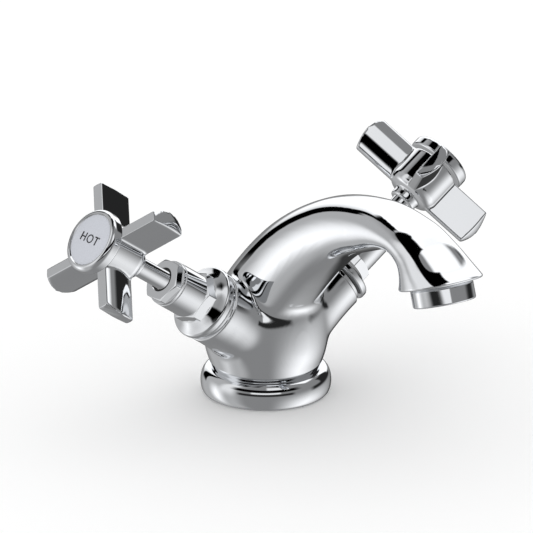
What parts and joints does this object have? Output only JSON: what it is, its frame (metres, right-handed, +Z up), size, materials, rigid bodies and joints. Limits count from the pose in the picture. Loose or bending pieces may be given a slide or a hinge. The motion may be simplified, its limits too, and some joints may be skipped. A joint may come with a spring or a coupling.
{
  "type": "basin mixer faucet",
  "caption": "Deck-mounted bathroom basin mixer with an arched swan-neck spout and an inclined quarter-turn valve with a cross handle on each side.",
  "frame": {"origin": "centre of the flat underside of the base, on the basin deck", "axes": "+Z up, spout points along -Y, hot valve on the -X side and cold valve on the +X side"},
  "size_m": [0.1881, 0.1522, 0.098],
  "materials": {
    "chrome": "polished chrome plate",
    "index_plastic": null,
    "brass": "machined",
    "steel": "plain stainless",
    "rubber": "matt black",
    "ceramic": null,
    "aerator_plastic": "moulded pale plastic"
  },
  "bodies": {
    "fixed_body": {"body_casting": "chrome", "base_seal": "rubber", "aerator_housing": "chrome", "aerator_cartridge": "aerator_plastic", "aerator_screen": "aerator_plastic", "aerator_washer": "rubber", "hot_bonnet": "chrome", "hot_bonnet_seal": "rubber", "hot_gland_nut": "chrome", "hot_valve_sleeve": "brass", "hot_seat_seal": "rubber", "hot_fixed_disc": "ceramic", "cold_bonnet": "chrome", "cold_bonnet_seal": "rubber", "cold_gland_nut": "chrome", "cold_valve_sleeve": "brass", "cold_seat_seal": "rubber", "cold_fixed_disc": "ceramic"},
    "hot_turning": {"hot_handle": "chrome", "hot_handle_screw": "steel", "hot_cap_ring": "chrome", "hot_cap_disc": "index_plastic", "hot_spindle": "chrome", "hot_moving_disc": "ceramic", "hot_stem_o_ring": "rubber", "hot_stem_circlip": "steel"},
    "cold_turning": {"cold_handle": "chrome", "cold_handle_screw": "steel", "cold_cap_ring": "chrome", "cold_cap_disc": "index_plastic", "cold_spindle": "chrome", "cold_moving_disc": "ceramic", "cold_stem_o_ring": "rubber", "cold_stem_circlip": "steel"}
  },
  "joints": [
    {"name": "hot_turn", "type": "hinge", "parent": "fixed_body", "child": "hot_turning", "pos_m": [0, -0.0033, 0.0216], "axis": [-0.8221, 0, 0.5693], "range_deg": [0, 90]},
    {"name": "cold_turn", "type": "hinge", "parent": "fixed_body", "child": "cold_turning", "pos_m": [0, -0.0033, 0.0216], "axis": [0.8221, 0, 0.5693], "range_deg": [0, 90]}
  ]
}
